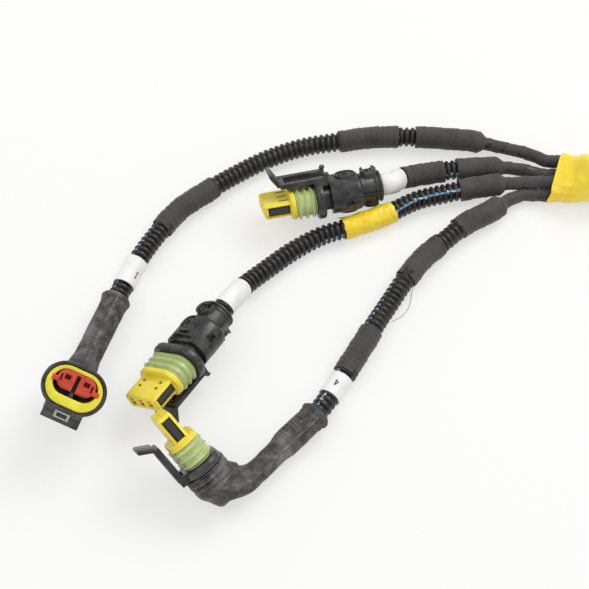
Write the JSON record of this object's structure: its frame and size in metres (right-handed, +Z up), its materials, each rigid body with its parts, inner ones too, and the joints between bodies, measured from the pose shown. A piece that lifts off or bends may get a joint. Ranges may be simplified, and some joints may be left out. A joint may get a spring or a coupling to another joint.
{
  "type": "wiring harness",
  "caption": "Vehicle wiring harness: conduit branches with tape, labels and sealed plugs, fanning out of a taped breakout on a short trunk.",
  "frame": {"origin": "on the surface the harness lies on, under the middle of its own pieces apart from the wires and conduits", "axes": "+X from the branch plugs towards the trunk, +Y across the branches, +Z up from the surface"},
  "size_m": [0.4494, 0.2098, 0.0452],
  "materials": {
    "conduit": "satin black",
    "black_tape": "matte black tape",
    "yellow_tape": "satin yellow tape",
    "label": "matte white",
    "rubber_boot": "dusty black rubber",
    "black_housing": "satin black",
    "green_seal": "satin light green",
    "yellow_seal": "satin yellow",
    "yellow_lock": "gloss yellow",
    "red_lock": "gloss red",
    "contact": "tinned"
  },
  "bodies": {
    "root": {"breakout_tape": "yellow_tape", "trunk_conduit": "conduit", "trunk_boot": "rubber_boot", "trunk_housing": "black_housing", "trunk_ring_seal": "green_seal", "trunk_lock": "yellow_lock", "a_bundle": "black_tape", "a_conduit": "conduit", "a_tape_1": "black_tape", "a_tape_2": "black_tape", "a_tape_3": "black_tape", "a_label": "label", "a_boot": "rubber_boot", "b_bundle": "black_tape", "b_conduit": "conduit", "b_tape_1": "black_tape", "b_tape_2": "black_tape", "b_label": "label", "c_bundle": "black_tape", "c_conduit": "conduit", "c_tape_1": "black_tape", "c_tape_2": "yellow_tape", "c_label": "label", "d_bundle": "black_tape", "d_conduit": "conduit", "d_tape_1": "black_tape", "d_tape_2": "black_tape", "d_tape_3": "black_tape", "d_label": "label", "d_boot": "rubber_boot", "a_housing": "black_housing", "a_ring_seal": "yellow_seal", "a_lock": "red_lock", "a_contact_1": "contact", "a_contact_2": "contact", "b_housing": "black_housing", "b_ring_seal": "green_seal", "b_lock": "yellow_lock", "b_contact_1": "contact", "b_contact_2": "contact", "b_contact_3": "contact", "c_housing": "black_housing", "c_ring_seal": "green_seal", "c_lock": "yellow_lock", "c_contact_1": "contact", "c_contact_2": "contact", "c_contact_3": "contact", "d_housing": "black_housing", "d_ring_seal": "green_seal", "d_lock": "yellow_lock", "d_contact_1": "contact", "d_contact_2": "contact", "d_contact_3": "contact", "b_backshell_latch_half": "black_housing", "b_backshell_key_half": "black_housing", "c_backshell_latch_half": "black_housing", "c_backshell_key_half": "black_housing"}
  },
  "joints": []
}
